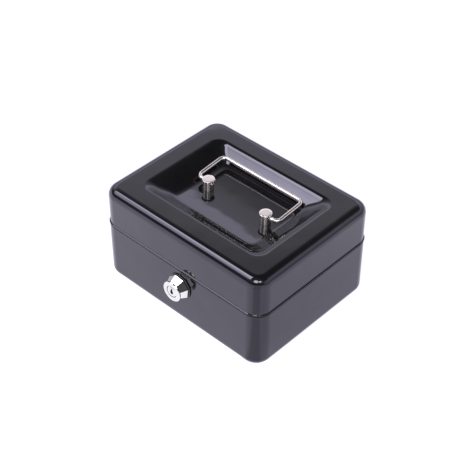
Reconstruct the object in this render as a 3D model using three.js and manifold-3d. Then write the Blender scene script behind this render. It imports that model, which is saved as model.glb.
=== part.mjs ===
// Small steel cash box: drawn lid and base shells, folding wire bail in a
// dished lid, cam lock with a faceted head, rear butt hinges, coin tray.
// Millimetres, +Z up, +X to the right along the front, +Y to the back.
// Origin: centre of the underside of the base.
import * as THREE from 'three';
import { mergeVertices } from 'three/addons/utils/BufferGeometryUtils.js';
import Module from 'manifold-3d';

const wasm = await Module();
wasm.setup();

// ---------------------------------------------------------------- dimensions
const WIDTH = 152;            // outside, left to right
const DEPTH = 119;            // outside, front to back
const HEIGHT = 80;            // to the lid's flat rim
const CORNER_R = 12.2;        // vertical corners
const TOP_R = 7.5;            // lid's top edge
const BOTTOM_R = 7.2;         // base's bottom edge
const SHEET = 1.0;            // steel sheet with its enamel
const SEAM_Z = 48.4;          // parting line of lid and base
const SEAM_GAP = 0.35;
const LIP_H = 3.2;            // base lip that stands up inside the lid
const LIP_IN = 1.4;           // lip's outer face, in from the wall
const BEAD = 0.4;             // rolled edge of the lid
const TAPER = 0.4;            // lid wall leans in this much at the top

const DISH_C = [0.4, 0.6];    // centre of the dished recess in the lid
const DISH_TOP = [55, 38.75]; // half sizes at the upper edge
const DISH_FLOOR = [38.5, 27];
const DISH_DEPTH = 9.7;
const DISH_R = 6.6;

const POST_X = 27.45;         // half the distance between the bail posts
const POST_C = [0.2, 0.2];
const POST_R = 4.0;
const POST_HEAD_R = 4.75;
const POST_TOP = 79.0;
const PIVOT_Z = 76.1;
const WIRE_R = 1.6;
const BAIL_HALF = 38.1;       // bail arms, from the middle
const BAIL_LEN = 27.0;        // pivot to the middle of the grip
const BAIL_TILT = 4.9;        // degrees above level at rest
const BAIL_BEND_R = 4.2;

const LOCK = [2.3, 34.1];     // x, z of the lock's axis
const LOCK_FLATS_TURN = 16;   // degrees, first corner of the eight-sided head
const LOCK_REACH = 8.55;       // head stands out from the front wall
const CAM_LEN = 16;

const HINGE_X = 40;           // middle of each hinge
const HINGE_W = 30;
const KNUCKLE_R = 2.0;
const KNUCKLE_BORE = 1.25;
const PIN_R = 0.9;
const LEAF_T = 0.8;
const WALL_Y = DEPTH / 2;
const AXIS_Y = WALL_Y + 0.3 + KNUCKLE_R;

const TRAY = { x: 68.6, y0: -43, y1: 53.2, z0: 25, z1: 49, wall: 1.5, r: 9.5 };

// ---------------------------------------------------------------- materials
const enamel = () => new THREE.MeshStandardMaterial({ color: 0x0c0c0e, roughness: 0.12, metalness: 0.0 });
const nickel = () => new THREE.MeshStandardMaterial({ color: 0xd8d0c6, roughness: 0.16, metalness: 1.0 });
const chrome = () => new THREE.MeshStandardMaterial({ color: 0xe9e8ea, roughness: 0.1, metalness: 1.0 });
const zinc = () => new THREE.MeshStandardMaterial({ color: 0xa9abae, roughness: 0.4, metalness: 1.0 });
const brass = () => new THREE.MeshStandardMaterial({ color: 0xb5935a, roughness: 0.35, metalness: 1.0 });
const plastic = () => new THREE.MeshStandardMaterial({ color: 0x1a1a1c, roughness: 0.5, metalness: 0.0 });

// ---------------------------------------------------------------- helpers
// A closed geometry becomes a solid with its faces pointing out.
function solid(geometry) {
  let g = geometry.clone();
  for (const name of Object.keys(g.attributes)) if (name !== 'position') g.deleteAttribute(name);
  g = mergeVertices(g, 1e-4);
  const p = g.attributes.position.array;
  const idx = g.index.array;
  const tri = [];
  let vol = 0;
  for (let i = 0; i < idx.length; i += 3) {
    const [a, b, c] = [idx[i], idx[i + 1], idx[i + 2]];
    if (a === b || b === c || a === c) continue;
    tri.push(a, b, c);
    const [ax, ay, az] = [p[3 * a], p[3 * a + 1], p[3 * a + 2]];
    const [bx, by, bz] = [p[3 * b], p[3 * b + 1], p[3 * b + 2]];
    const [cx, cy, cz] = [p[3 * c], p[3 * c + 1], p[3 * c + 2]];
    vol += ax * (by * cz - bz * cy) - ay * (bx * cz - bz * cx) + az * (bx * cy - by * cx);
  }
  if (vol < 0) for (let i = 0; i < tri.length; i += 3) [tri[i], tri[i + 1]] = [tri[i + 1], tri[i]];
  return new wasm.Manifold(new wasm.Mesh({
    numProp: 3, vertProperties: new Float32Array(p), triVerts: new Uint32Array(tri),
  }));
}

function toGeometry(manifold) {
  const m = manifold.getMesh();
  const g = new THREE.BufferGeometry();
  const pos = new Float32Array(m.numVert * 3);
  for (let i = 0; i < m.numVert; i++) for (let k = 0; k < 3; k++) pos[3 * i + k] = m.vertProperties[i * m.numProp + k];
  g.setAttribute('position', new THREE.BufferAttribute(pos, 3));
  g.setIndex(new THREE.BufferAttribute(new Uint32Array(m.triVerts), 1));
  g.computeVertexNormals();
  return g;
}

const group = new THREE.Group();
function node(name, shape, material) {
  const mesh = new THREE.Mesh(toGeometry(shape), material);
  mesh.name = name;
  group.add(mesh);
  return mesh;
}

// Rounded rectangle at height z, the same number of points whatever its size.
const CORNER_SEGS = 6;
function ring(cx, cy, hx, hy, r, z) {
  const pts = [];
  const s = [[1, 1], [-1, 1], [-1, -1], [1, -1]];
  for (let k = 0; k < 4; k++) {
    for (let i = 0; i <= CORNER_SEGS; i++) {
      const a = (k + i / CORNER_SEGS) * Math.PI / 2;
      pts.push([cx + s[k][0] * (hx - r) + r * Math.cos(a), cy + s[k][1] * (hy - r) + r * Math.sin(a), z]);
    }
  }
  return pts;
}

// Skin through a chain of rings, closed at both ends by a fan.
function loft(rings) {
  const n = rings[0].length;
  const pos = [];
  const idx = [];
  for (const r of rings) for (const p of r) pos.push(...p);
  const middle = (r) => [0, 1, 2].map((k) => r.reduce((t, p) => t + p[k], 0) / r.length);
  const first = pos.length / 3;
  pos.push(...middle(rings[0]));
  const last = pos.length / 3;
  pos.push(...middle(rings[rings.length - 1]));
  for (let i = 0; i < n; i++) {
    const j = (i + 1) % n;
    idx.push(first, j, i);
    for (let k = 0; k + 1 < rings.length; k++) {
      const a = k * n + i, b = k * n + j, c = (k + 1) * n + i, d = (k + 1) * n + j;
      idx.push(a, b, d, a, d, c);
    }
    const e = (rings.length - 1) * n;
    idx.push(e + i, e + j, last);
  }
  const g = new THREE.BufferGeometry();
  g.setAttribute('position', new THREE.Float32BufferAttribute(pos, 3));
  g.setIndex(idx);
  return solid(g);
}

const box = (x0, x1, y0, y1, z0, z1) =>
  solid(new THREE.BoxGeometry(x1 - x0, y1 - y0, z1 - z0).translate((x0 + x1) / 2, (y0 + y1) / 2, (z0 + z1) / 2));

// Turned piece. The profile is [radius, height] pairs from the axis back to the axis.
function turned(profile, sides, axis, at, turn = 0) {
  const g = new THREE.LatheGeometry(profile.map(([r, h]) => new THREE.Vector2(r, h)), sides);
  g.rotateY(turn);
  if (axis === 'z') g.rotateX(Math.PI / 2);
  if (axis === 'x') g.rotateZ(-Math.PI / 2);
  if (axis === '-y') g.rotateX(Math.PI);
  return solid(g.translate(...at));
}
const rod = (r, h0, h1, sides, axis, at, turn = 0) => turned([[0, h0], [r, h0], [r, h1], [0, h1]], sides, axis, at, turn);

const outline = (o, r, z) => ring(0, 0, WIDTH / 2 - o, DEPTH / 2 - o, Math.max(r - o, 0.6), z);
const arc = (n, f) => Array.from({ length: n + 1 }, (_, i) => f(i / n * Math.PI / 2));

// ---------------------------------------------------------------- base shell
const shoulder = SEAM_Z - SEAM_GAP / 2;
const lipTop = SEAM_Z + LIP_H;
let base = loft([
  ...arc(4, (a) => outline(BOTTOM_R * (1 - Math.sin(a)), CORNER_R, BOTTOM_R * (1 - Math.cos(a)))),
  outline(0, CORNER_R, shoulder - 0.5),
  outline(0.4, CORNER_R, shoulder),
  outline(LIP_IN, CORNER_R, shoulder),
  outline(LIP_IN, CORNER_R, lipTop),
  outline(LIP_IN + 0.9, CORNER_R, lipTop),
  outline(LIP_IN + 0.9, CORNER_R, shoulder - 1.2),
  outline(SHEET, CORNER_R, shoulder - 2.4),
  ...arc(3, (a) => outline(SHEET + (BOTTOM_R - SHEET) * (1 - Math.cos(a)), CORNER_R, BOTTOM_R - (BOTTOM_R - SHEET) * Math.sin(a))),
]);
base = base.subtract(rod(6.5, -4, 4, 20, 'y', [LOCK[0], -WALL_Y, LOCK[1]]));

const rivetX = [-HINGE_X - 9, -HINGE_X + 9, HINGE_X - 9, HINGE_X + 9];
const RIVET_BASE_Z = SEAM_Z - 6.8;
const RIVET_LID_Z = SEAM_Z + 6.8;
for (const x of rivetX) base = base.subtract(rod(1.5, -3, 3, 10, 'y', [x, WALL_Y, RIVET_BASE_Z]));
node('base_shell', base, enamel());

// ---------------------------------------------------------------- lid shell
const dish = (s, extra, dz) => {
  const hx = DISH_TOP[0] + s * (DISH_FLOOR[0] - DISH_TOP[0]) + extra;
  const hy = DISH_TOP[1] + s * (DISH_FLOOR[1] - DISH_TOP[1]) + extra;
  return (z) => ring(DISH_C[0], DISH_C[1], hx, hy, DISH_R - 2.2 * s + extra, z + dz);
};
const floorZ = HEIGHT - DISH_DEPTH;
const dishSteps = [[1.13, floorZ], [1.05, floorZ + 0.06], [0.96, floorZ + 0.5], [0.87, floorZ + 1.3],
  [0.14, HEIGHT - 1.4], [0.05, HEIGHT - 0.62], [-0.03, HEIGHT - 0.2], [-0.11, HEIGHT]];
const wallTop = HEIGHT - TOP_R;
const lidFoot = SEAM_Z + SEAM_GAP / 2;
let lid = loft([
  ...dishSteps.map(([s, z]) => dish(s, 0, 0)(z)),
  ...arc(5, (a) => outline(TAPER + TOP_R * (1 - Math.sin(a)), CORNER_R, wallTop + TOP_R * Math.cos(a))),
  outline(0.05, CORNER_R, lidFoot + 2.2),
  outline(-BEAD, CORNER_R, lidFoot + 1.5),
  outline(-BEAD, CORNER_R, lidFoot + 0.5),
  outline(0.05, CORNER_R, lidFoot),
  outline(SHEET, CORNER_R, lidFoot),
  outline(SHEET + TAPER, CORNER_R, wallTop),
  ...arc(4, (a) => outline(TAPER + SHEET + (TOP_R - SHEET) * (1 - Math.cos(a)), CORNER_R, wallTop + (TOP_R - SHEET) * Math.sin(a))).slice(1),
  ...dishSteps.slice().reverse().map(([s, z]) => dish(s, 0.3, -SHEET)(z)),
]);
for (const sx of [-1, 1]) {
  lid = lid.subtract(box(sx * HINGE_X - HINGE_W / 2 - 0.5, sx * HINGE_X + HINGE_W / 2 + 0.5, WALL_Y, WALL_Y + 2, SEAM_Z - 1, SEAM_Z + 14));
  lid = lid.subtract(rod(2.0, floorZ - 3, floorZ + 3, 12, 'z', [POST_C[0] + sx * POST_X, POST_C[1], 0]));
}
for (const x of rivetX) lid = lid.subtract(rod(1.5, -3, 3, 10, 'y', [x, WALL_Y, RIVET_LID_Z]));
node('lid_shell', lid, enamel());

// ---------------------------------------------------------------- bail posts
for (const [side, sx] of [['left', -1], ['right', 1]]) {
  const at = [POST_C[0] + sx * POST_X, POST_C[1], 0];
  const under = POST_TOP - 1.0;
  let post = turned([[0, floorZ + 0.3], [POST_R - 0.2, floorZ + 0.3], [POST_R, floorZ + 0.5],
    [POST_R, under - 0.1], [POST_HEAD_R - 0.25, under - 0.1], [POST_HEAD_R, under + 0.15], [POST_HEAD_R, POST_TOP - 0.3], [POST_HEAD_R - 0.4, POST_TOP], [0, POST_TOP]], 20, 'z', at);
  post = post.subtract(rod(WIRE_R + 0.25, -6, 6, 12, 'x', [at[0], at[1], PIVOT_Z]));
  post = post.subtract(rod(1.75, floorZ - 1, 73.6, 12, 'z', at));
  node(`handle_post_${side}`, post, nickel());

  const washer = turned([[2.1, floorZ - 2.1], [5, floorZ - 2.1], [5, floorZ - 1.3], [2.1, floorZ - 1.3], [2.1, floorZ - 2.1]], 16, 'z', at);
  node(`handle_post_washer_${side}`, washer, zinc());

  let screw = turned([[0, 65.9], [2.4, 65.9], [3.2, 66.4], [3.2, floorZ - 2.4], [1.45, floorZ - 2.4], [1.45, 73.0], [1.1, 73.3], [0, 73.3]], 14, 'z', at);
  screw = screw.subtract(box(at[0] - 2.2, at[0] + 2.2, at[1] - 0.35, at[1] + 0.35, 65, 66.7));
  screw = screw.subtract(box(at[0] - 0.35, at[0] + 0.35, at[1] - 2.2, at[1] + 2.2, 65, 66.7));
  node(`handle_post_screw_${side}`, screw, zinc());
}

// ---------------------------------------------------------------- bail
// Round wire in one plane: in through each post, round a bend, back along an
// arm, round a bend and across as the grip.
class BailLine extends THREE.Curve {
  constructor() {
    super();
    const t = THREE.MathUtils.degToRad(BAIL_TILT);
    const pts = [];
    const right = [];
    const r = BAIL_BEND_R, w = BAIL_HALF, l = BAIL_LEN, n = 5;
    right.push([POST_X - 2.4, 0], [w - r, 0]);
    for (let i = 1; i <= n; i++) { const a = i / n * Math.PI / 2; right.push([w - r + r * Math.sin(a), r - r * Math.cos(a)]); }
    right.push([w, l - r]);
    for (let i = 1; i <= n; i++) { const a = i / n * Math.PI / 2; right.push([w - r + r * Math.cos(a), l - r + r * Math.sin(a)]); }
    for (const [x, y] of right) pts.push([x, y]);
    for (const [x, y] of right.slice().reverse()) pts.push([-x, y]);
    this.p = pts.map(([x, y]) => new THREE.Vector3(POST_C[0] + x, POST_C[1] + y * Math.cos(t), PIVOT_Z + y * Math.sin(t)));
    this.d = this.p.map((_, i) => {
      const a = this.p[Math.max(i - 1, 0)], b = this.p[i], c = this.p[Math.min(i + 1, this.p.length - 1)];
      const u = b.clone().sub(a), v = c.clone().sub(b);
      if (u.length() === 0) return v.normalize();
      if (v.length() === 0) return u.normalize();
      return u.normalize().add(v.normalize()).normalize();
    });
  }
  getPoint(u) { return this.getPointAt(u); }
  getPointAt(u) { return this.p[Math.round(u * (this.p.length - 1))].clone(); }
  getTangentAt(u) { return this.d[Math.round(u * (this.p.length - 1))].clone(); }
}
const bailLine = new BailLine();
const wireSection = new THREE.Shape(Array.from({ length: 10 }, (_, i) => {
  const a = (i + 0.5) / 10 * Math.PI * 2;
  return new THREE.Vector2(WIRE_R * Math.cos(a), WIRE_R * Math.sin(a));
}));
node('handle_bail', solid(new THREE.ExtrudeGeometry(wireSection, { steps: bailLine.p.length - 1, extrudePath: bailLine, curveSegments: 1 })), nickel());

// ---------------------------------------------------------------- cam lock
const front = -WALL_Y;
const lockAt = [LOCK[0], 0, LOCK[1]];
// y positions along the lock's axis, from outside to inside
const HEAD_BACK = front - 1.25;
const HEAD_FRONT = front - LOCK_REACH;
const BARREL_END = front + 9.4;
{
  const turn = THREE.MathUtils.degToRad(LOCK_FLATS_TURN);
  const section = (y, r) => Array.from({ length: 8 }, (_, i) => {
    const a = turn + i * Math.PI / 4;
    return [LOCK[0] + r * Math.cos(a), y, LOCK[1] + r * Math.sin(a)];
  });
  let head = loft([section(HEAD_BACK, 9.6), section(HEAD_BACK - 0.4, 9.85), section(HEAD_FRONT + 1.2, 7.0)]);
  head = head.add(turned([[0, HEAD_FRONT + 1.6], [7.2, HEAD_FRONT + 1.6], [8.05, HEAD_FRONT + 1.1], [8.05, HEAD_FRONT + 0.5], [7.5, HEAD_FRONT], [0, HEAD_FRONT]], 24, 'y', lockAt));
  let body = head.add(rod(6.0, HEAD_BACK - 1, BARREL_END, 20, 'y', lockAt));
  body = body.subtract(turned([[0, HEAD_FRONT - 1], [4.65, HEAD_FRONT - 1], [4.65, BARREL_END + 1], [0, BARREL_END + 1]], 20, 'y', lockAt));
  node('lock_body', body, chrome());

  const ringWasher = turned([[6.5, front - 0.3], [10.3, front - 0.3], [10.3, front - 0.7], [10.0, front - 0.95], [6.5, front - 0.95], [6.5, front - 0.3]], 24, 'y', lockAt);
  node('lock_washer', ringWasher, plastic());

  let nut = turned([[6.3, front + SHEET + 0.3], [9.6, front + SHEET + 0.3], [9.6, front + SHEET + 3.1], [6.3, front + SHEET + 3.1], [6.3, front + SHEET + 0.3]], 6, 'y', lockAt);
  nut = turned([[0, front + SHEET + 0.3], [9.6, front + SHEET + 0.3], [9.6, front + SHEET + 3.1], [0, front + SHEET + 3.1]], 6, 'y', lockAt)
    .subtract(rod(6.3, front, front + 8, 20, 'y', lockAt));
  node('lock_nut', nut, zinc());

  // the plug turns in the body; its square tail drives the cam
  const PLUG_END = BARREL_END + 0.3;
  let plug = rod(4.3, HEAD_FRONT + 0.15, PLUG_END, 20, 'y', lockAt);
  plug = plug.add(box(LOCK[0] - 2.4, LOCK[0] + 2.4, PLUG_END - 0.5, PLUG_END + 1.6, LOCK[1] - 2.4, LOCK[1] + 2.4));
  plug = plug.subtract(box(LOCK[0] - 0.9, LOCK[0] + 0.9, HEAD_FRONT - 1, HEAD_FRONT + 13, LOCK[1] - 2.3, LOCK[1] + 2.3));
  plug = plug.subtract(rod(1.35, PLUG_END - 3.2, PLUG_END + 3, 10, 'y', lockAt));
  const waferY = [3.2, 5.4, 7.6, 9.8].map((d) => HEAD_FRONT + d);
  for (const y of waferY) plug = plug.subtract(box(LOCK[0] - 2.5, LOCK[0] + 2.5, y - 0.6, y + 0.6, LOCK[1] - 3.55, LOCK[1] + 3.55));
  node('lock_plug', plug, chrome());
  waferY.forEach((y, i) => {
    const lift = [0.25, -0.2, 0.15, -0.1][i];
    const wafer = box(LOCK[0] - 2.2, LOCK[0] + 2.2, y - 0.3, y + 0.3, LOCK[1] - 3.0 + lift, LOCK[1] + 3.0 + lift)
      .subtract(box(LOCK[0] - 1.25, LOCK[0] + 1.25, y - 1, y + 1, LOCK[1] - 1.9, LOCK[1] + 1.9));
    node(`lock_wafer_${i + 1}`, wafer, brass());
  });

  // cam: points up when unlocked, to the right when locked
  const camY = [PLUG_END + 0.3, PLUG_END + 1.7];
  const camShape = new THREE.Shape();
  camShape.absarc(0, 0, 5.2, Math.PI * 0.77, Math.PI * 0.23, false);
  camShape.lineTo(3.5, CAM_LEN - 3.0);
  camShape.absarc(0.5, CAM_LEN - 3.0, 3.0, 0, Math.PI / 2, false);
  camShape.lineTo(-0.5, CAM_LEN);
  camShape.absarc(-0.5, CAM_LEN - 3.0, 3.0, Math.PI / 2, Math.PI, false);
  camShape.closePath();
  const camHole = new THREE.Path([[-2.75, -2.75], [2.75, -2.75], [2.75, 2.75], [-2.75, 2.75]].map((p) => new THREE.Vector2(...p)));
  camShape.holes.push(camHole);
  const cam = new THREE.ExtrudeGeometry(camShape, { depth: camY[1] - camY[0], bevelEnabled: false, curveSegments: 10 });
  cam.rotateX(Math.PI / 2);
  cam.translate(LOCK[0], camY[1], LOCK[1]);
  node('lock_cam', solid(cam), zinc());

  const screwBack = PLUG_END + 2.0;
  let screw = turned([[0, PLUG_END - 2.8], [1.05, PLUG_END - 2.8], [1.05, screwBack], [4.2, screwBack], [4.2, screwBack + 0.8], [3.3, screwBack + 1.6], [0, screwBack + 1.6]], 14, 'y', lockAt);
  screw = screw.subtract(box(LOCK[0] - 2.6, LOCK[0] + 2.6, screwBack + 0.8, screwBack + 3, LOCK[1] - 0.4, LOCK[1] + 0.4));
  node('cam_screw', screw, zinc());
}

// ---------------------------------------------------------------- keeper
// Bracket on the inside of the lid's front wall; its foot lies under the cam.
{
  const kx = [14.2, 22.2];
  const strap = front + 4.6;
  let keeper = box(kx[0], kx[1], front + SHEET + 0.6, front + SHEET + 1.8, 56, 66);
  const jog = new THREE.Shape([[front + SHEET + 0.6, 56.5], [front + SHEET + 1.8, 56.5], [strap + 1.2, 53.4], [strap + 1.2, 52.2], [strap, 52.2], [strap, 52.9]].map((p) => new THREE.Vector2(...p)));
  const jogGeometry = new THREE.ExtrudeGeometry(jog, { depth: kx[1] - kx[0], bevelEnabled: false });
  jogGeometry.applyMatrix4(new THREE.Matrix4().set(0, 0, 1, kx[0], 1, 0, 0, 0, 0, 1, 0, 0, 0, 0, 0, 1));
  keeper = keeper.add(solid(jogGeometry));
  keeper = keeper.add(box(kx[0], kx[1], strap, strap + 1.2, LOCK[1] - 5.3, 52.6));
  keeper = keeper.add(box(kx[0], kx[1], strap, front + 13.4, LOCK[1] - 5.3, LOCK[1] - 4.1));
  node('keeper_bracket', keeper, zinc());
}

// ---------------------------------------------------------------- hinges
for (const [side, sx] of [['left', -1], ['right', 1]]) {
  const cx = sx * HINGE_X;
  const axis = [cx, AXIS_Y, SEAM_Z];
  const y0 = WALL_Y + 0.3, y1 = y0 + LEAF_T;
  const knuckle = (a, b) => rod(KNUCKLE_R, a, b, 16, 'x', axis);
  const bore = rod(KNUCKLE_BORE, -20, 20, 14, 'x', axis);
  let lower = box(cx - HINGE_W / 2, cx + HINGE_W / 2, y0, y1, SEAM_Z - 11.2, SEAM_Z - 2.4);
  for (const [a, b] of [[-HINGE_W / 2, -5.2], [5.2, HINGE_W / 2]]) {
    lower = lower.add(box(cx + a, cx + b, y0, y1, SEAM_Z - 2.6, SEAM_Z)).add(knuckle(a, b));
  }
  lower = lower.subtract(bore);
  let upper = box(cx - HINGE_W / 2, cx + HINGE_W / 2, y0, y1, SEAM_Z + 2.4, SEAM_Z + 11.2)
    .add(box(cx - 4.8, cx + 4.8, y0, y1, SEAM_Z, SEAM_Z + 2.6)).add(knuckle(-4.8, 4.8)).subtract(bore);
  for (const d of [-9, 9]) {
    lower = lower.subtract(rod(1.5, -3, 3, 10, 'y', [cx + d, WALL_Y, RIVET_BASE_Z]));
    upper = upper.subtract(rod(1.5, -3, 3, 10, 'y', [cx + d, WALL_Y, RIVET_LID_Z]));
  }
  node(`hinge_leaf_base_${side}`, lower, zinc());
  node(`hinge_leaf_lid_${side}`, upper, zinc());
  node(`hinge_pin_${side}`, rod(PIN_R, -HINGE_W / 2 - 0.3, HINGE_W / 2 + 0.3, 12, 'x', axis), zinc());
  for (const [part, z] of [['base', RIVET_BASE_Z], ['lid', RIVET_LID_Z]]) {
    [['a', -9], ['b', 9]].forEach(([tag, d]) => {
      const out = y1 + 0.3, inn = WALL_Y - SHEET - (part === 'lid' ? 0.45 : 0.3);
      const rivet = turned([[0, inn - 0.8], [1.7, inn - 0.8], [2.1, inn - 0.3], [2.1, inn], [1.2, inn], [1.2, out], [2.2, out], [1.9, out + 0.7], [1.0, out + 1.1], [0, out + 1.1]], 10, 'y', [cx + d, 0, z]);
      node(`rivet_${part}_${side}_${tag}`, rivet, zinc());
    });
  }
}

// ---------------------------------------------------------------- coin tray
{
  const t = TRAY, w = t.wall;
  const cx = 0, cy = (t.y0 + t.y1) / 2, hx = t.x, hy = (t.y1 - t.y0) / 2;
  let tray = loft([
    ring(cx, cy, hx - 2.4, hy - 2.4, t.r - 2.0, t.z0), ring(cx, cy, hx - 1.2, hy - 1.2, t.r - 1.0, t.z0 + 1.2),
    ring(cx, cy, hx - 1.0, hy - 1.0, t.r - 1.0, t.z1 - 1.8), ring(cx, cy, hx, hy, t.r, t.z1 - 1.8), ring(cx, cy, hx, hy, t.r, t.z1),
    ring(cx, cy, hx - 1.0 - w, hy - 1.0 - w, t.r - 1.5, t.z1), ring(cx, cy, hx - 1.4 - w, hy - 1.4 - w, t.r - 2.2, t.z0 + w),
  ]);
  const long = t.y0 + 36;
  tray = tray.add(box(-t.x + 1.6, t.x - 1.6, long - 0.7, long + 0.7, t.z0 + 1.2, t.z1 - 3));
  for (const x of [-34.5, 0, 34.5]) tray = tray.add(box(x - 0.7, x + 0.7, long, t.y1 - 1.6, t.z0 + 1.2, t.z1 - 3));
  node('coin_tray', tray, plastic());
}
for (const [side, sx] of [['left', -1], ['right', 1]]) {
  const wallX = WIDTH / 2 - SHEET - 0.3;
  const a = [sx * wallX, sx * (wallX - 0.8), sx * (wallX - 10.5)];
  const leg = box(Math.min(a[0], a[1]), Math.max(a[0], a[1]), -36, 44, TRAY.z0 - 7, TRAY.z0 - 0.3);
  const shelf = box(Math.min(a[0], a[2]), Math.max(a[0], a[2]), -36, 44, TRAY.z0 - 1.1, TRAY.z0 - 0.3);
  node(`tray_ledge_${side}`, leg.add(shelf), zinc());
}

export default group;
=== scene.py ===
import math

import bmesh
import bpy
import numpy as np
from mathutils import Matrix, Vector


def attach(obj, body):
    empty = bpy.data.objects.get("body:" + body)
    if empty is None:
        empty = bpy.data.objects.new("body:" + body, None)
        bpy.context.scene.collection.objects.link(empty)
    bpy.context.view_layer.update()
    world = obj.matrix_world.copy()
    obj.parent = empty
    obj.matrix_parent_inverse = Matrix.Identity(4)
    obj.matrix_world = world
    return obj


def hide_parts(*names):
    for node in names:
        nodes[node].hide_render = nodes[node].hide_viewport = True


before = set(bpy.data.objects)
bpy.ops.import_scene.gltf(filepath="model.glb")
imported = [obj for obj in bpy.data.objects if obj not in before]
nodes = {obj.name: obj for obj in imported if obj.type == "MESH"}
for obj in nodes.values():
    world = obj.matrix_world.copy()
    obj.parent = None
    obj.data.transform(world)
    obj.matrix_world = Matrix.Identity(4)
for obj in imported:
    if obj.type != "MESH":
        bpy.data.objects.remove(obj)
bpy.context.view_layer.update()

MM = 0.001
scene = bpy.context.scene

# ---------------------------------------------------------------- sizes (mm)
WIDTH, DEPTH, HEIGHT = 152.0, 119.0, 80.0
CORNER_R, TOP_R, BOTTOM_R, SHEET = 12.2, 7.5, 7.2, 1.0
SEAM_Z, SEAM_GAP, LIP_H, LIP_IN = 48.4, 0.35, 3.2, 1.4
TAPER, BEAD = 0.4, 0.4
DISH_C = (0.4, 0.6)
POST = (0.2, 0.2, 27.45)
PIVOT_Z = 76.1
LOCK = (2.3, 34.1)
FRONT = -DEPTH / 2
REAR = DEPTH / 2
HEAD_FRONT = -68.05
HINGE_X = 40.0
AXIS_Y = 61.8


# ---------------------------------------------------------------- mesh helpers
def make(name, verts, faces, smooth=32.0):
    me = bpy.data.meshes.new(name)
    me.from_pydata([tuple(c * MM for c in v) for v in verts], [], faces)
    me.validate()
    bm = bmesh.new()
    bm.from_mesh(me)
    bmesh.ops.remove_doubles(bm, verts=bm.verts, dist=1e-6)
    bmesh.ops.recalc_face_normals(bm, faces=bm.faces)
    bm.to_mesh(me)
    bm.free()
    ob = bpy.data.objects.new(name, me)
    scene.collection.objects.link(ob)
    return ob


def shade(ob, angle=32.0):
    me = ob.data
    me.shade_smooth()
    me.set_sharp_from_angle(angle=math.radians(angle))


def apply_mods(ob):
    dg = bpy.context.evaluated_depsgraph_get()
    me = bpy.data.meshes.new_from_object(ob.evaluated_get(dg))
    old = ob.data
    ob.modifiers.clear()
    ob.data = me
    bpy.data.meshes.remove(old)


def boolean(ob, cutters, op="DIFFERENCE"):
    for c in cutters:
        m = ob.modifiers.new("b", "BOOLEAN")
        m.operation = op
        m.solver = "EXACT"
        m.object = c
    bpy.context.view_layer.update()
    apply_mods(ob)
    for c in cutters:
        me = c.data
        bpy.data.objects.remove(c)
        bpy.data.meshes.remove(me)
    return ob


def bevel(ob, width, segs=2, angle=35.0, apply=False):
    m = ob.modifiers.new("edge", "BEVEL")
    m.width = width * MM
    m.segments = segs
    m.limit_method = "ANGLE"
    m.angle_limit = math.radians(angle)
    m.use_clamp_overlap = True
    m.harden_normals = False
    if apply:
        bpy.context.view_layer.update()
        apply_mods(ob)
    return ob


def weighted(ob):
    m = ob.modifiers.new("normals", "WEIGHTED_NORMAL")
    m.keep_sharp = True
    m.weight = 60
    return ob


def rr(cx, cy, hx, hy, r, z, segs=16, div=10):
    """Rounded rectangle, corners finely cut and straight sides divided."""
    pts = []
    s = [(1, 1), (-1, 1), (-1, -1), (1, -1)]
    corners = []
    for k in range(4):
        c = []
        for i in range(segs + 1):
            a = (k + i / segs) * math.pi / 2
            c.append((cx + s[k][0] * (hx - r) + r * math.cos(a), cy + s[k][1] * (hy - r) + r * math.sin(a)))
        corners.append(c)
    for k in range(4):
        pts += corners[k]
        a, b = corners[k][-1], corners[(k + 1) % 4][0]
        for j in range(1, div):
            t = j / div
            pts.append((a[0] + (b[0] - a[0]) * t, a[1] + (b[1] - a[1]) * t))
    if callable(z):
        return [(x, y, z(x, y)) for x, y in pts]
    return [(x, y, z) for x, y in pts]


def loft(name, rings, close=False, cap_first=True, cap_last=True):
    n = len(rings[0])
    verts = [p for r in rings for p in r]
    faces = []
    m = len(rings)
    for k in range(m if close else m - 1):
        k2 = (k + 1) % m
        for i in range(n):
            j = (i + 1) % n
            faces.append((k * n + i, k * n + j, k2 * n + j, k2 * n + i))
    if not close:
        if cap_first:
            faces.append(tuple(range(n - 1, -1, -1)))
        if cap_last:
            faces.append(tuple((m - 1) * n + i for i in range(n)))
    return make(name, verts, faces)


def axis_point(axis, at, r, h, a):
    c, s = r * math.cos(a), r * math.sin(a)
    if axis == "z":
        return (at[0] + c, at[1] + s, at[2] + h)
    if axis == "y":
        return (at[0] + c, at[1] + h, at[2] + s)
    return (at[0] + h, at[1] + c, at[2] + s)


def lathe(name, prof, axis, at, n=64, close=False, turn=0.0):
    """Turned piece; the profile holds (radius, height)."""
    rings = [[axis_point(axis, at, r, h, turn + 2 * math.pi * i / n) for i in range(n)] for r, h in prof if r > 1e-6 or close]
    verts = [p for r in rings for p in r]
    faces = []
    m = len(rings)
    for k in range(m if close else m - 1):
        k2 = (k + 1) % m
        for i in range(n):
            j = (i + 1) % n
            faces.append((k * n + i, k * n + j, k2 * n + j, k2 * n + i))
    if not close:
        faces.append(tuple(range(n - 1, -1, -1)))
        faces.append(tuple((m - 1) * n + i for i in range(n)))
    return make(name, verts, faces)


def rod(name, r, h0, h1, axis, at, n=48, turn=0.0):
    return lathe(name, [(r, h0), (r, h1)], axis, at, n, turn=turn)


def block(name, x0, x1, y0, y1, z0, z1):
    v = [(x, y, z) for x in (x0, x1) for y in (y0, y1) for z in (z0, z1)]
    f = [(0, 1, 3, 2), (4, 6, 7, 5), (0, 4, 5, 1), (2, 3, 7, 6), (0, 2, 6, 4), (1, 5, 7, 3)]
    return make(name, v, f)


def arc_prof(cr, ch, r, a0, a1, n=6):
    """Points of an arc in a turned profile, centre (cr, ch), angles in degrees from +radius to +height."""
    out = []
    for i in range(n + 1):
        a = math.radians(a0 + (a1 - a0) * i / n)
        out.append((cr + r * math.cos(a), ch + r * math.sin(a)))
    return out


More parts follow.
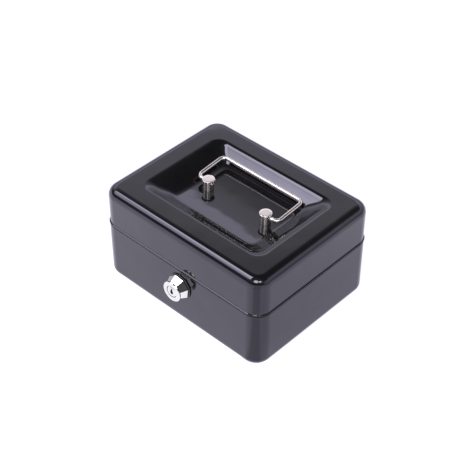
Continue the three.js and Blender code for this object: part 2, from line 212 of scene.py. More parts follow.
def arcs(n, f):
    return [f(i / n * math.pi / 2) for i in range(n + 1)]


def outline(o, z):
    return rr(0, 0, WIDTH / 2 - o, DEPTH / 2 - o, max(CORNER_R - o, 0.6), z)


# ---------------------------------------------------------------- materials
class Graph:
    def __init__(self, name):
        self.mat = bpy.data.materials.new(name)
        self.mat.use_nodes = True
        self.t = self.mat.node_tree
        self.t.nodes.clear()
        self.out = self.t.nodes.new("ShaderNodeOutputMaterial")
        self.bsdf = self.t.nodes.new("ShaderNodeBsdfPrincipled")
        self.t.links.new(self.bsdf.outputs["BSDF"], self.out.inputs["Surface"])
        self.co = self.t.nodes.new("ShaderNodeTexCoord").outputs["Object"]

    def set(self, **kw):
        for k, v in kw.items():
            self.bsdf.inputs[k.replace("_", " ")].default_value = v

    def link(self, a, b):
        self.t.links.new(a, b)

    def noise(self, scale, detail=3.0, rough=0.55, stretch=None, distortion=0.0):
        n = self.t.nodes.new("ShaderNodeTexNoise")
        n.inputs["Scale"].default_value = scale
        n.inputs["Detail"].default_value = detail
        n.inputs["Roughness"].default_value = rough
        n.inputs["Distortion"].default_value = distortion
        if stretch:
            m = self.t.nodes.new("ShaderNodeMapping")
            m.inputs["Scale"].default_value = stretch
            self.link(self.co, m.inputs["Vector"])
            self.link(m.outputs["Vector"], n.inputs["Vector"])
        else:
            self.link(self.co, n.inputs["Vector"])
        return n.outputs["Fac"]

    def voronoi(self, scale, feature="F1"):
        n = self.t.nodes.new("ShaderNodeTexVoronoi")
        n.feature = feature
        n.inputs["Scale"].default_value = scale
        self.link(self.co, n.inputs["Vector"])
        return n

    def range(self, src, a, b, lo, hi):
        m = self.t.nodes.new("ShaderNodeMapRange")
        m.inputs["From Min"].default_value = a
        m.inputs["From Max"].default_value = b
        m.inputs["To Min"].default_value = lo
        m.inputs["To Max"].default_value = hi
        self.link(src, m.inputs["Value"])
        return m.outputs["Result"]

    def math(self, op, a, b):
        m = self.t.nodes.new("ShaderNodeMath")
        m.operation = op
        for s, i in ((a, 0), (b, 1)):
            if isinstance(s, (int, float)):
                m.inputs[i].default_value = s
            else:
                self.link(s, m.inputs[i])
        return m.outputs[0]

    def mix(self, fac, a, b):
        m = self.t.nodes.new("ShaderNodeMix")
        m.data_type = "RGBA"
        self.link(fac, m.inputs[0])
        for s, i in ((a, 6), (b, 7)):
            if isinstance(s, (tuple, list)):
                m.inputs[i].default_value = (*s[:3], 1.0)
            else:
                self.link(s, m.inputs[i])
        return m.outputs[2]

    def bump(self, height, strength, distance, normal=None):
        b = self.t.nodes.new("ShaderNodeBump")
        b.inputs["Strength"].default_value = strength
        b.inputs["Distance"].default_value = distance
        self.link(height, b.inputs["Height"])
        if normal is not None:
            self.link(normal, b.inputs["Normal"])
        return b.outputs["Normal"]


def enamel(name):
    g = Graph(name)
    soft = g.noise(28, 4)
    speck = g.range(g.noise(1400, 1), 0.70, 0.76, 0.0, 1.0)
    base = g.mix(g.range(soft, 0.3, 0.7, 0, 1), (0.0035, 0.0034, 0.0038), (0.0058, 0.0056, 0.0062))
    base = g.mix(speck, base, (0.016, 0.016, 0.017))
    g.link(base, g.bsdf.inputs["Base Color"])
    rough = g.range(soft, 0.3, 0.7, 0.035, 0.06)
    rough = g.math("ADD", rough, g.math("MULTIPLY", speck, 0.12))
    g.link(rough, g.bsdf.inputs["Roughness"])
    peel = g.noise(260, 2, 0.4)
    fine = g.noise(1100, 2, 0.5)
    n = g.bump(g.noise(42, 1, 0.4), 0.55, 0.00035)
    n = g.bump(peel, 0.05, 0.00012, n)
    n = g.bump(fine, 0.02, 0.00002, n)
    g.link(n, g.bsdf.inputs["Normal"])
    g.set(IOR=1.5)
    g.bsdf.inputs["Specular IOR Level"].default_value = 0.50
    g.bsdf.inputs["Specular Tint"].default_value = (0.92, 0.90, 1.0, 1.0)
    return g.mat


def metal(name, dark, light, r0, r1, scale=60, brushed=None, scratch=0.0, spangle=False, bump_s=0.05):
    g = Graph(name)
    soft = g.noise(scale, 4)
    base = g.mix(g.range(soft, 0.3, 0.7, 0, 1), dark, light)
    if spangle:
        v = g.voronoi(900)
        base = g.mix(g.range(v.outputs["Color"], 0.1, 0.9, 0.0, 0.35), base, tuple(c * 0.72 for c in dark))
    g.link(base, g.bsdf.inputs["Base Color"])
    rough = g.range(soft, 0.3, 0.7, r0, r1)
    streak = g.noise(320, 3, 0.6, brushed or (1.0, 1.0, 1.0))
    rough = g.math("ADD", rough, g.range(streak, 0.35, 0.75, 0.0, scratch))
    g.link(rough, g.bsdf.inputs["Roughness"])
    n = g.bump(streak, bump_s, 0.00003)
    g.link(n, g.bsdf.inputs["Normal"])
    g.set(Metallic=1.0)
    return g.mat


def plastic(name):
    g = Graph(name)
    grain = g.noise(2600, 2, 0.6)
    soft = g.noise(50, 3)
    base = g.mix(g.range(soft, 0.3, 0.7, 0, 1), (0.012, 0.012, 0.0125), (0.019, 0.019, 0.020))
    g.link(base, g.bsdf.inputs["Base Color"])
    g.link(g.range(grain, 0.3, 0.7, 0.36, 0.5), g.bsdf.inputs["Roughness"])
    g.link(g.bump(grain, 0.25, 0.00004), g.bsdf.inputs["Normal"])
    g.set(IOR=1.49)
    return g.mat


M_ENAMEL = enamel("black_enamel_paint")
M_NICKEL = metal("satin_nickel_plate", (0.60, 0.555, 0.50), (0.70, 0.65, 0.59), 0.20, 0.28, 160, scratch=0.04, bump_s=0.015)
M_CHROME = metal("bright_chrome_plate", (0.57, 0.57, 0.51), (0.67, 0.67, 0.60), 0.04, 0.075, 90, scratch=0.03, bump_s=0.03)
M_ZINC = metal("zinc_plate", (0.50, 0.51, 0.53), (0.62, 0.63, 0.65), 0.26, 0.38, 80, scratch=0.08, spangle=True, bump_s=0.12)
M_BRASS = metal("wafer_brass_sheet", (0.60, 0.42, 0.17), (0.72, 0.53, 0.25), 0.22, 0.34, 120, scratch=0.08)
M_PLASTIC = plastic("tray_black_plastic")


def finish_piece(ob, body, mat, replaces=(), angle=32.0, weight=True):
    shade(ob, angle)
    if weight:
        weighted(ob)
    ob.data.materials.clear()
    ob.data.materials.append(mat)
    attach(ob, body)
    if replaces:
        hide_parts(*replaces)
    return ob


def dress_cad(name, mat, width=0.12, angle=35.0):
    ob = nodes[name]
    ob.data.materials.clear()
    ob.data.materials.append(mat)
    ob.data.shade_smooth()
    ob.data.set_sharp_from_angle(angle=math.radians(angle))
    bevel(ob, width, 2, angle)
    weighted(ob)
    return ob


# ---------------------------------------------------------------- base shell
shoulder = SEAM_Z - SEAM_GAP / 2
lip_top = SEAM_Z + LIP_H
rings = arcs(16, lambda a: outline(BOTTOM_R * (1 - math.sin(a)), BOTTOM_R * (1 - math.cos(a))))
rings += [outline(0, shoulder - 0.8)]
rings += arcs(4, lambda a: outline(0.15 * (1 - math.cos(a)), shoulder - 0.6 + 0.15 * math.sin(a)))
rings += [outline(LIP_IN, shoulder - 0.45), outline(LIP_IN, lip_top - 0.25)]
rings += arcs(4, lambda a: outline(LIP_IN + 0.25 * (1 - math.cos(a)), lip_top - 0.25 + 0.25 * math.sin(a)))
rings += arcs(4, lambda a: outline(LIP_IN + 0.65 + 0.25 * math.sin(a), lip_top - 0.25 + 0.25 * math.cos(a)))
rings += [outline(LIP_IN + 0.9, shoulder - 1.2), outline(SHEET, shoulder - 2.4)]
rings += arcs(10, lambda a: outline(SHEET + (BOTTOM_R - SHEET) * (1 - math.cos(a)), BOTTOM_R - (BOTTOM_R - SHEET) * math.sin(a)))
base = loft("box_base", rings)
rivet_x = [-HINGE_X - 9, -HINGE_X + 9, HINGE_X - 9, HINGE_X + 9]
RIVET_Z = {"base": SEAM_Z - 6.8, "lid": SEAM_Z + 6.8}
cut = [rod("c", 6.5, -4, 4, "y", (LOCK[0], FRONT, LOCK[1]), 64)]
cut += [rod("c", 1.5, -3, 3, "y", (x, REAR, RIVET_Z["base"]), 32) for x in rivet_x]
boolean(base, cut)
finish_piece(base, "base", M_ENAMEL, ["base_shell"], 40)

# ---------------------------------------------------------------- lid shell
FLOOR_Z = 70.3
SAG = 0.0034
SAG_Y0 = 3.0
SAG_DROP = 0.25


def sag(y, z):
    """Extra height of the gently hollow dish floor; it fades out up the slope."""
    w = max(0.0, 1.0 - max(0.0, z - FLOOR_Z) / 7.0)
    w = w * w * (3 - 2 * w)
    return w * (0.5 * SAG * (y - SAG_Y0) ** 2 - SAG_DROP)


BEND = [tuple((1 - t) ** 2 * a + 2 * t * (1 - t) * b + t * t * c for a, b, c in zip((12.0, 70.1), (27.8, 70.57), (31.0, 73.2))) for t in [k / 40 for k in range(41)]]


def rear_bend(y, z):
    """The floor runs up into the rear slope in a wide bend."""
    if y < 6.0:
        return z
    if y < 12.0:
        r = 70.1 - 0.03 * (12.0 - y) - 0.03 * (12.0 - y) ** 2
    elif y < 31.0:
        r = float(np.interp(y, [p[0] for p in BEND], [p[1] for p in BEND]))
    else:
        r = 73.2 + 0.815 * (y - 31.0)
    return 0.5 * (z + r + math.sqrt((z - r) ** 2 + 0.04)) if z < 77.0 else z


def dish_ring(s, z0, extra=0.0, dz=0.0, shrink=1.0):
    hx = (55.0 + s * (38.5 - 55.0) + extra) * shrink
    hy = (38.75 + s * (27.0 - 38.75) + extra) * shrink
    r = (8.8 - 3.6 * s + extra) * shrink
    return rr(DISH_C[0], DISH_C[1], hx, hy, max(r, 0.05), lambda x, y: rear_bend(y - extra, z0 + sag(y, z0)) + dz)


def bezier(p0, p1, p2, n):
    out = []
    for i in range(n + 1):
        t = i / n
        out.append(tuple((1 - t) ** 2 * a + 2 * t * (1 - t) * b + t * t * c for a, b, c in zip(p0, p1, p2)))
    return out


dish_prof = bezier((1.13, FLOOR_Z), (1.0056, FLOOR_Z), (0.87, 71.6), 10)
dish_prof += [(0.87 - (0.87 - 0.24) * k / 6, 71.6 + 6.041 * k / 6) for k in range(1, 6)]
dish_prof += bezier((0.24, 77.641), (-0.006, HEIGHT), (-0.17, HEIGHT), 14)
wall_top = HEIGHT - TOP_R
lid_foot = SEAM_Z + SEAM_GAP / 2
FINE = (0.02, 1, 2, 3, 4, 4.5, 5, 5.5, 6, 6.4, 6.8, 7.2, 7.6)
rings = [dish_ring(1.13, FLOOR_Z, shrink=k / 8) for k in FINE]
rings += [dish_ring(s, z) for s, z in dish_prof]
rings += arcs(16, lambda a: outline(TAPER + TOP_R * (1 - math.sin(a)), wall_top + TOP_R * math.cos(a)))
# rolled bead: the wall turns out, slopes at 55 degrees and rounds over
slope_z = lid_foot + 1.28
rings += [outline(TAPER, slope_z + 0.30)]
for i in range(1, 4):
    a = i / 3 * math.radians(52)
    rings.append(outline(TAPER - 0.18 * (1 - math.cos(a)), slope_z + 0.142 - 0.18 * math.sin(a)))
rings += [outline(0.03, slope_z - 0.21), outline(0.12 - BEAD, slope_z - 0.428)]
for i in range(1, 6):
    a = math.radians(55) * (1 - i / 5)
    rings.append(outline(0.28 * (1 - math.cos(a)) - BEAD, slope_z - 0.657 + 0.28 * math.sin(a)))
rings += [outline(-BEAD, lid_foot + 0.55)]
rings += arcs(6, lambda a: outline(-BEAD + 0.5 * (1 - math.cos(a)), lid_foot + 0.5 - 0.5 * math.sin(a)))[1:]
rings += [outline(SHEET, lid_foot), outline(SHEET + TAPER, wall_top)]
rings += arcs(10, lambda a: outline(TAPER + SHEET + (TOP_R - SHEET) * (1 - math.cos(a)), wall_top + (TOP_R - SHEET) * math.sin(a)))[1:]
rings += [dish_ring(s, z, 0.3, -SHEET) for s, z in reversed(dish_prof)]
rings += [dish_ring(1.13, FLOOR_Z, 0.3, -SHEET, shrink=k / 8) for k in reversed(FINE)]
lid = loft("box_lid", rings)
cut = []
for sx in (-1, 1):
    cut.append(block("c", sx * HINGE_X - 15.5, sx * HINGE_X + 15.5, REAR, REAR + 2, SEAM_Z - 1, SEAM_Z + 14))
    cut.append(rod("c", 2.0, FLOOR_Z - 3, FLOOR_Z + 3, "z", (POST[0] + sx * POST[2], POST[1], 0), 40))
cut += [rod("c", 1.5, -3, 3, "y", (x, REAR, RIVET_Z["lid"]), 32) for x in rivet_x]
boolean(lid, cut)
finish_piece(lid, "lid", M_ENAMEL, ["lid_shell"], 40)

# ---------------------------------------------------------------- bail and its posts
for side, sx in (("left", -1), ("right", 1)):
    at = (POST[0] + sx * POST[2], POST[1], 0)
    foot = FLOOR_Z - 0.13
    prof = [(3.9, foot), (4.0, foot + 0.12), (4.0, 77.55)]
    prof += [(4.1, 77.72), (4.35, 77.82)]
    prof += arc_prof(4.45, 78.12, 0.3, -90, 0, 4)
    prof += arc_prof(4.2, 78.45, 0.55, 0, 82, 7)
    prof += [(3.0, 79.0), (1.2, 79.0)]
    post = lathe(f"bail_post_{side}", prof, "z", at, 72)
    boolean(post, [rod("c", 1.85, -6, 6, "x", (at[0], at[1], PIVOT_Z), 40), rod("c", 1.75, FLOOR_Z - 1, 73.6, "z", at, 32)])
    bevel(post, 0.12, 2, 50)
    finish_piece(post, "lid", M_NICKEL, [f"handle_post_{side}"], 35)
    w = lathe(f"post_washer_{side}", [(2.1, 68.2), (4.85, 68.2), (5.0, 68.35), (5.0, 68.85), (4.85, 69.0), (2.1, 69.0)], "z", at, 64, close=True)
    finish_piece(w, "lid", M_ZINC, [f"handle_post_washer_{side}"], 35)
    prof = [(1.0, 65.95), (2.2, 65.97), (2.7, 66.1), (3.05, 66.35), (3.2, 66.7), (3.2, 67.75), (3.05, 67.9), (1.45, 67.9)]
    z = 68.0
    while z < 73.0:
        prof += [(1.45, z), (1.18, z + 0.25)]
        z += 0.5
    prof += [(1.1, 73.3)]
    s = lathe(f"post_screw_{side}", prof, "z", at, 40)
    boolean(s, [block("c", at[0] - 2.2, at[0] + 2.2, at[1] - 0.35, at[1] + 0.35, 65, 66.9), block("c", at[0] - 0.35, at[0] + 0.35, at[1] - 2.2, at[1] + 2.2, 65, 66.9)])
    finish_piece(s, "lid", M_ZINC, [f"handle_post_screw_{side}"], 35)

tilt = math.radians(4.9)
half, length, bend, wire = 38.1, 27.0, 4.2, 1.6
line = [(POST[2] - 2.4, 0.0), (POST[2] - 2.2, 0.0)]
line += [(POST[2] - 2.2 + (half - bend - POST[2] + 2.2) * k / 4, 0.0) for k in range(1, 5)]
line += [(half - bend + bend * math.sin(a), bend - bend * math.cos(a)) for a in [i / 14 * math.pi / 2 for i in range(1, 15)]]
line += [(half, bend + (length - 2 * bend) * k / 4) for k in range(1, 5)]
line += [(half - bend + bend * math.cos(a), length - bend + bend * math.sin(a)) for a in [i / 14 * math.pi / 2 for i in range(1, 15)]]
line += [((half - bend) * (1 - k / 4), length) for k in range(1, 4)]
line = line + [(0.0, length)] + [(-x, y) for x, y in reversed(line)]
P = np.array([(POST[0] + x, POST[1] + y * math.cos(tilt), PIVOT_Z + y * math.sin(tilt)) for x, y in line])
N = np.array((0.0, -math.sin(tilt), math.cos(tilt)))
rings = []
for i in range(len(P)):
    d = P[min(i + 1, len(P) - 1)] - P[max(i - 1, 0)]
    d /= np.linalg.norm(d)
    side_v = np.cross(d, N)
    r = wire
    if i in (0, len(P) - 1):
        r = wire - 0.2
    rings.append([tuple(P[i] + r * (math.cos(a) * side_v + math.sin(a) * N)) for a in [2 * math.pi * k / 28 for k in range(28)]])
bail = loft("wire_bail", rings)
finish_piece(bail, "handle", M_NICKEL, ["handle_bail"], 45)

# ---------------------------------------------------------------- cam lock
lock_at = (LOCK[0], 0, LOCK[1])
turn = math.radians(16)
eight = lambda y, r: [(LOCK[0] + r * math.cos(turn + i * math.pi / 4), y, LOCK[1] + r * math.sin(turn + i * math.pi / 4)) for i in range(8)]
head = loft("lock_head", [eight(-60.75, 9.6), eight(-61.15, 9.85), eight(-66.85, 7.0)])
bevel(head, 0.16, 3, 15, apply=True)
disc = [(6.9, -66.45), (7.35, -66.55)] + arc_prof(7.6, -66.95, 0.45, 70, 0, 4)[::-1][:0]
disc += [(7.85, -66.72), (8.02, -66.95), (8.05, -67.15), (8.05, -67.5)]
disc += [(7.98, -67.78), (7.8, -67.97), (7.5, -68.05), (5.4, -68.05), (5.2, -67.98), (4.9, -67.98)]
front_disc = lathe("c", [(6.9, -66.0)] + disc, "y", lock_at, 96)
barrel = [(6.0, -61.4), (6.0, -59.0)]
y = -58.9
while y < -50.6:
    barrel += [(6.0, y), (5.62, y + 0.3)]
    y += 0.6
barrel += [(5.7, -50.1)]
boolean(head, [front_disc, lathe("c", barrel, "y", lock_at, 64)], "UNION")
boolean(head, [rod("c", 4.65, -70, -48, "y", lock_at, 64)])
finish_piece(head, "base", M_CHROME, ["lock_body"], 30)

# the washer takes the near-black plastic finish and shows as a dark ring round the lock head
w = lathe("lock_washer_ring", [(6.5, -59.8), (10.2, -59.8), (10.3, -59.9), (10.3, -60.2), (10.22, -60.33), (10.05, -60.42), (9.85, -60.45), (6.7, -60.45), (6.5, -60.35)], "y", lock_at, 96, close=True)
finish_piece(w, "base", M_PLASTIC, ["lock_washer"], 35)

plug = lathe("key_plug", [(3.6, -67.9), (4.1, -67.9), (4.3, -67.72), (4.3, -49.8)], "y", lock_at, 64)
boolean(plug, [block("c", LOCK[0] - 2.4, LOCK[0] + 2.4, -50.3, -48.2, LOCK[1] - 2.4, LOCK[1] + 2.4)], "UNION")
cut = [block("c", LOCK[0] - 0.75, LOCK[0] + 0.75, -69.05, -55.05, LOCK[1] - 2.3, LOCK[1] + 2.6), rod("c", 1.35, -53, -46, "y", lock_at, 32)]
cut.append(rod("c", 1.45, -69.05, -56.0, "y", (LOCK[0], 0, LOCK[1] - 0.6), 32))
for d in (3.2, 5.4, 7.6, 9.8):
    yy = HEAD_FRONT + d
    cut.append(block("c", LOCK[0] - 2.5, LOCK[0] + 2.5, yy - 0.6, yy + 0.6, LOCK[1] - 3.55, LOCK[1] + 3.55))
boolean(plug, cut)
bevel(plug, 0.08, 2, 50)
finish_piece(plug, "lock_cylinder", M_CHROME, ["lock_plug"], 35)

for i in range(1, 5):
    dress_cad(f"lock_wafer_{i}", M_BRASS, 0.05)
dress_cad("lock_nut", M_ZINC, 0.25)
dress_cad("lock_cam", M_ZINC, 0.15)
dress_cad("keeper_bracket", M_ZINC, 0.15)
dress_cad("tray_ledge_left", M_ZINC, 0.12)
dress_cad("tray_ledge_right", M_ZINC, 0.12)
prof = [(1.05, -52.6), (1.05, -47.8), (4.1, -47.8), (4.2, -47.7), (4.2, -47.1), (3.9, -46.6), (3.2, -46.25), (2.0, -46.2)]
s = lathe("cam_fixing_screw", prof, "y", lock_at, 48)
boolean(s, [block("c", LOCK[0] - 4.4, LOCK[0] + 4.4, -46.9, -45, LOCK[1] - 0.4, LOCK[1] + 0.4)])
finish_piece(s, "lock_cylinder", M_ZINC, ["cam_screw"], 35)


# ---------------------------------------------------------------- hinges
def leaf_plate(name, x0, x1, y0, y1, z0, z1, r, low):
    """Plate with its two free corners rounded."""
    pts = []
    if low:
        pts += [(x0, z1), (x1, z1)]
        pts = [(x1, z1), (x0, z1)]
        pts += [(x0 + r - r * math.cos(a), z0 + r - r * math.sin(a)) for a in [i / 6 * math.pi / 2 for i in range(7)]]
        pts += [(x1 - r + r * math.sin(a), z0 + r - r * math.cos(a)) for a in [i / 6 * math.pi / 2 for i in range(7)]]
    else:
        pts = [(x0, z0), (x1, z0)]
        pts += [(x1 - r + r * math.cos(a), z1 - r + r * math.sin(a)) for a in [i / 6 * math.pi / 2 for i in range(7)]]
        pts += [(x0 + r - r * math.sin(a), z1 - r + r * math.cos(a)) for a in [i / 6 * math.pi / 2 for i in range(7)]]
    n = len(pts)
    verts = [(x, y0, z) for x, z in pts] + [(x, y1, z) for x, z in pts]
    faces = [tuple(range(n)), tuple(range(2 * n - 1, n - 1, -1))] + [(i, i + n, (i + 1) % n + n, (i + 1) % n) for i in range(n)]
    return make(name, verts, faces)


for side, sx in (("left", -1), ("right", 1)):
    cx = sx * HINGE_X
    axis = (cx, AXIS_Y, SEAM_Z)
    y0, y1 = REAR + 0.3, REAR + 1.1
    low = leaf_plate(f"hinge_leaf_lower_{side}", cx - 15, cx + 15, y0, y1, SEAM_Z - 11.2, SEAM_Z - 2.4, 1.6, True)
    add = []
    for a, b in ((-15, -5.2), (5.2, 15)):
        add += [block("c", cx + a, cx + b, y0, y1, SEAM_Z - 2.6, SEAM_Z), rod("c", 2.0, a, b, "x", axis, 40)]
    boolean(low, add, "UNION")
    cut = [rod("c", 1.25, -20, 20, "x", axis, 32)]
    cut += [rod("c", 1.5, -3, 3, "y", (cx + d, REAR, RIVET_Z["base"]), 32) for d in (-9, 9)]
    boolean(low, cut)
    bevel(low, 0.1, 2, 40)
    finish_piece(low, "base", M_ZINC, [f"hinge_leaf_base_{side}"], 35)
    up = leaf_plate(f"hinge_leaf_upper_{side}", cx - 15, cx + 15, y0, y1, SEAM_Z + 2.4, SEAM_Z + 11.2, 1.6, False)
    boolean(up, [block("c", cx - 4.8, cx + 4.8, y0, y1, SEAM_Z, SEAM_Z + 2.6), rod("c", 2.0, -4.8, 4.8, "x", axis, 40)], "UNION")
    cut = [rod("c", 1.25, -20, 20, "x", axis, 32)]
    cut += [rod("c", 1.5, -3, 3, "y", (cx + d, REAR, RIVET_Z["lid"]), 32) for d in (-9, 9)]
    boolean(up, cut)
    bevel(up, 0.1, 2, 40)
    finish_piece(up, "lid", M_ZINC, [f"hinge_leaf_lid_{side}"], 35)
    pin = lathe(f"hinge_pin_rod_{side}", [(0.4, -15.3), (0.75, -15.22), (0.9, -15.0), (0.9, 15.0), (0.75, 15.22), (0.4, 15.3)], "x", axis, 32)
    finish_piece(pin, "base", M_ZINC, [f"hinge_pin_{side}"], 45)
    for part, body in (("base", "base"), ("lid", "lid")):
        for tag, d in (("a", -9), ("b", 9)):
            out = y1 + 0.3
            inn = REAR - SHEET - (0.45 if part == "lid" else 0.3)
            prof = [(0.8, inn - 0.8), (1.7, inn - 0.8), (2.0, inn - 0.62), (2.1, inn - 0.3), (2.1, inn), (1.2, inn), (1.2, out), (2.2, out)]
            prof += [(2.2 * math.cos(a), out + 1.1 * math.sin(a)) for a in [i / 8 * math.pi / 2 for i in range(1, 8)]]
            rv = lathe(f"rivet_{part}_{side}_{tag}_round", prof, "y", (cx + d, 0, RIVET_Z[part]), 40)
            finish_piece(rv, body, M_ZINC, [f"rivet_{part}_{side}_{tag}"], 35)

# ---------------------------------------------------------------- coin tray
TX, TY0, TY1, TZ0, TZ1, TW, TR = 68.6, -43.0, 53.2, 25.0, 49.0, 1.5, 9.5
cy, hy = (TY0 + TY1) / 2, (TY1 - TY0) / 2
tr = lambda ox, r, z: rr(0, cy, TX - ox, hy - ox, r, z)
rings = [tr(2.4, TR - 2.0, TZ0)] + arcs(5, lambda a: tr(2.4 - 1.2 * math.sin(a), TR - 2.0 + math.sin(a), TZ0 + 1.2 * (1 - math.cos(a))))[1:]
rings += [tr(1.0, TR - 1.0, TZ1 - 1.8), tr(0.15, TR - 0.1, TZ1 - 1.8), tr(0.0, TR, TZ1 - 1.6), tr(0.0, TR, TZ1 - 0.5)]
rings += arcs(4, lambda a: tr(0.5 * (1 - math.cos(a)), TR - 0.5 * (1 - math.cos(a)), TZ1 - 0.5 + 0.5 * math.sin(a)))[1:]
rings += arcs(4, lambda a: tr(2.1 + 0.4 * math.sin(a), TR - 1.2 - 0.3 * math.sin(a), TZ1 - 0.4 * (1 - math.cos(a))))
rings += arcs(6, lambda a: tr(2.85 + 1.5 * (1 - math.cos(a)), TR - 2.0 - 1.5 * (1 - math.cos(a)), TZ0 + TW + 1.5 * (1 - math.sin(a))))
tray = loft("coin_tray_moulding", rings)
long_y = TY0 + 36
add = [block("c", -TX + 1.6, TX - 1.6, long_y - 0.7, long_y + 0.7, TZ0 + 1.2, TZ1 - 3)]
boolean(tray, add, "UNION")
boolean(tray, [block("c", x - 0.7, x + 0.7, long_y, TY1 - 1.6, TZ0 + 1.2, TZ1 - 3.05) for x in (-34.5, 0, 34.5)], "UNION")
finish_piece(tray, "tray", M_PLASTIC, ["coin_tray"], 35)


# ---------------------------------------------------------------- floor, light, camera
class WorldGraph:
    def __init__(self):
        w = bpy.data.worlds.new("studio")
        scene.world = w
        w.use_nodes = True
        self.t = w.node_tree
        self.t.nodes.clear()
        self.out = self.t.nodes.new("ShaderNodeOutputWorld")
        self.bg = self.t.nodes.new("ShaderNodeBackground")
        self.t.links.new(self.bg.outputs[0], self.out.inputs[0])
        tc = self.t.nodes.new("ShaderNodeTexCoord")
        sep = self.t.nodes.new("ShaderNodeSeparateXYZ")
        self.t.links.new(tc.outputs["Generated"], sep.inputs[0])
        self.x, self.y, self.z = sep.outputs


def tree_math(t, op, *a):
    m = t.nodes.new("ShaderNodeMath")
    m.operation = op
    for i, s in enumerate(a):
        if isinstance(s, (int, float)):
            m.inputs[i].default_value = s
        else:
            t.links.new(s, m.inputs[i])
    return m.outputs[0]


def tree_step(t, src, a, b, lo=0.0, hi=1.0):
    m = t.nodes.new("ShaderNodeMapRange")
    m.interpolation_type = "SMOOTHSTEP"
    m.inputs["From Min"].default_value = a
    m.inputs["From Max"].default_value = b
    m.inputs["To Min"].default_value = lo
    m.inputs["To Max"].default_value = hi
    t.links.new(src, m.inputs["Value"])
    return m.outputs["Result"]


def tree_ramp(t, src, stops, scale):
    r = t.nodes.new("ShaderNodeValToRGB")
    e = r.color_ramp.elements
    while len(e) > 1:
        e.remove(e[-1])
    e[0].position = stops[0][0]
    e[0].color = (stops[0][1] / scale,) * 3 + (1,)
    for p, v in stops[1:]:
        el = e.new(p)
        el.color = (v / scale,) * 3 + (1,)
    t.links.new(src, r.inputs["Fac"])
    return tree_math(t, "MULTIPLY", r.outputs["Color"], scale)


W = WorldGraph()
T = W.t
m = lambda op, *a: tree_math(T, op, *a)
hyp = m("SQRT", m("ADD", m("MULTIPLY", W.x, W.x), m("MULTIPLY", W.y, W.y)))
hyp = m("MAXIMUM", hyp, 0.02)
cx_ = m("DIVIDE", W.x, hyp)   # +1 is to the right, -1 to the left
cy_ = m("DIVIDE", W.y, hyp)   # +1 is behind, -1 in front
zpos = m("MAXIMUM", W.z, 0.0)
back_left = tree_ramp(T, zpos, [(0.0, 0.60), (0.30, 0.85), (0.50, 1.75), (0.55, 2.15), (0.572, 2.15), (0.582, 1.12), (0.616, 1.04), (0.635, 1.00), (0.653, 0.90), (0.669, 0.70), (0.700, 0.60), (0.75, 0.40), (0.82, 0.10), (1.0, 0.06)], 2.5)
back_right = tree_ramp(T, zpos, [(0.0, 0.60), (0.20, 0.75), (0.34, 1.30), (0.57, 1.18), (0.63, 0.20), (0.78, 0.06), (1.0, 0.08)], 2.5)
front_left = tree_ramp(T, zpos, [(0.0, 2.1), (0.12, 1.4), (0.19, 0.14), (0.47, 0.10), (0.55, 0.45), (0.80, 0.2), (1.0, 0.18)], 2.5)
front_right = tree_ramp(T, zpos, [(0.0, 1.3), (0.12, 1.1), (0.24, 0.10), (0.50, 0.09), (0.62, 0.7), (0.80, 0.4), (1.0, 0.18)], 2.5)
to_right = tree_step(T, cx_, -0.45, 0.35)
to_front = tree_step(T, m("MULTIPLY", cy_, -1.0), -0.25, 0.30)
mixv = lambda f, a, b: m("ADD", m("MULTIPLY", m("SUBTRACT", 1.0, f), a), m("MULTIPLY", f, b))
env = mixv(to_front, mixv(to_right, back_left, back_right), mixv(to_right, front_left, front_right))
# softbox high on the left, in front
box_x = m("MULTIPLY", tree_step(T, W.x, -0.78, -0.74), tree_step(T, W.x, -0.30, -0.26, 1.0, 0.0))
box_y = m("MULTIPLY", tree_step(T, W.y, -0.66, -0.60), tree_step(T, W.y, -0.18, -0.13, 1.0, 0.0))
soft = m("MULTIPLY", m("MULTIPLY", box_x, box_y), tree_step(T, W.z, 0.50, 0.55))
panel = tree_ramp(T, zpos, [(0.0, 3.7), (0.64, 4.0), (0.72, 4.7), (0.79, 8.2), (0.86, 9.5), (1.0, 9.0)], 10.0)
env = mixv(soft, env, panel)
# two small lamps in front, left and right
for lx, ly, lz in ((0.293, -0.602, 0.764), (0.575, -0.335, 0.746)):
    dot = m("ADD", m("ADD", m("MULTIPLY", W.x, lx), m("MULTIPLY", W.y, ly)), m("MULTIPLY", W.z, lz))
    env = mixv(tree_step(T, dot, 0.9875, 0.9935), env, 11.0)
comb = T.nodes.new("ShaderNodeCombineColor")
T.links.new(m("MULTIPLY", env, 1.0), comb.inputs[0])
T.links.new(m("MULTIPLY", env, 0.985), comb.inputs[1])
blue = m("MAXIMUM", tree_step(T, W.z, 0.56, 0.66, 1.17, 1.04), m("MULTIPLY", soft, 1.16))
T.links.new(m("MULTIPLY", env, blue), comb.inputs[2])
T.links.new(comb.outputs[0], W.bg.inputs["Color"])

bm = bmesh.new()
bmesh.ops.create_circle(bm, cap_ends=True, radius=4.0, segments=96)
me = bpy.data.meshes.new("floor")
bm.to_mesh(me)
bm.free()
floor = bpy.data.objects.new("floor", me)
scene.collection.objects.link(floor)
mat = bpy.data.materials.new("pale_floor")
mat.use_nodes = True
FT = mat.node_tree
FT.nodes.clear()
fout = FT.nodes.new("ShaderNodeOutputMaterial")
em = FT.nodes.new("ShaderNodeEmission")
FT.links.new(em.outputs[0], fout.inputs["Surface"])
tc = FT.nodes.new("ShaderNodeTexCoord")
sep = FT.nodes.new("ShaderNodeSeparateXYZ")
FT.links.new(tc.outputs["Object"], sep.inputs[0])
f = lambda op, *a: tree_math(FT, op, *a)
fx, fy = sep.outputs[0], sep.outputs[1]
rad = f("SQRT", f("ADD", f("MULTIPLY", fx, fx), f("MULTIPLY", fy, fy)))
far = tree_step(FT, rad, 0.085, 0.23)
ux = f("DIVIDE", fx, f("MAXIMUM", rad, 0.01))
uy = f("DIVIDE", fy, f("MAXIMUM", rad, 0.01))
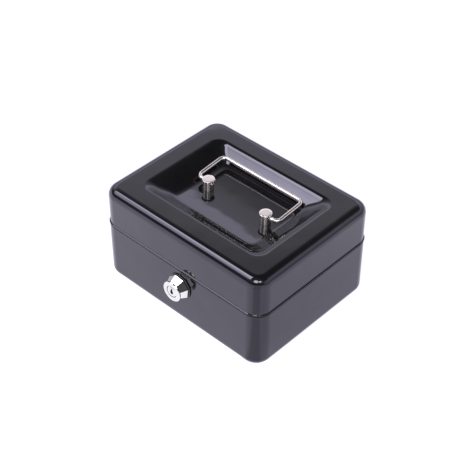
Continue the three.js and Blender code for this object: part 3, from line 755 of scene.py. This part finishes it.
# painted shade: the floor glows dimmer in front of the near corner, the open side of the studio
qx, qy = f("SUBTRACT", fx, 0.050), f("ADD", fy, 0.036)
ql = f("MAXIMUM", f("SQRT", f("ADD", f("MULTIPLY", qx, qx), f("MULTIPLY", qy, qy))), 0.002)
cam_side = tree_step(FT, f("DIVIDE", f("ADD", f("MULTIPLY", qx, 0.62), f("MULTIPLY", qy, -0.785)), ql), 0.92, 0.995)
front_left = tree_step(FT, f("ADD", f("MULTIPLY", ux, -0.55), f("MULTIPLY", uy, -0.835)), 0.40, 0.85)
behind = tree_step(FT, f("ADD", f("MULTIPLY", ux, -0.69), f("MULTIPLY", uy, 0.72)), 0.2, 0.8)
front = tree_step(FT, f("MULTIPLY", uy, -1.0), 0.30, 0.70)
# painted shade: the floor glows dimmer close to the box than further out, standing in for the box's contact shadow
near_v = f("ADD", 1.02, f("MULTIPLY", front, 0.40))
far_v = f("SUBTRACT", f("ADD", 1.50, f("MULTIPLY", front_left, 0.30)), f("MULTIPLY", behind, 0.60))
val = f("ADD", f("MULTIPLY", far, far_v), f("MULTIPLY", f("SUBTRACT", 1.0, far), near_v))
# painted shade: the cam_side patch is taken off the floor's glow, more so further out
val = f("SUBTRACT", val, f("MULTIPLY", cam_side, f("ADD", 0.45, f("MULTIPLY", far, 0.30))))
val = f("MAXIMUM", val, 1.015)
cc = FT.nodes.new("ShaderNodeCombineColor")
FT.links.new(f("MULTIPLY", val, 1.0), cc.inputs[0])
FT.links.new(f("MULTIPLY", val, 0.99), cc.inputs[1])
FT.links.new(f("MULTIPLY", val, 1.18), cc.inputs[2])
FT.links.new(cc.outputs[0], em.inputs["Color"])
floor.data.materials.append(mat)
floor.location = (0, 0, -0.0002)

cam_data = bpy.data.cameras.new("camera")
cam = bpy.data.objects.new("camera", cam_data)
scene.collection.objects.link(cam)
back = Vector((0.52306, -0.55219, 0.64922)).normalized()
right = Vector((0.7260, 0.6877, 0.0)).normalized()
right = (right - back * right.dot(back)).normalized()
up = back.cross(right)
rot = Matrix((right, up, back)).transposed().to_4x4()
cam.matrix_world = Matrix.Translation((0.45396, -0.48974, 0.62063)) @ rot
cam_data.sensor_width = 36.0
cam_data.lens = 97.49
cam_data.clip_start = 0.01
cam_data.clip_end = 50.0
scene.camera = cam
scene.view_settings.view_transform = "Standard"
scene.view_settings.look = "None"
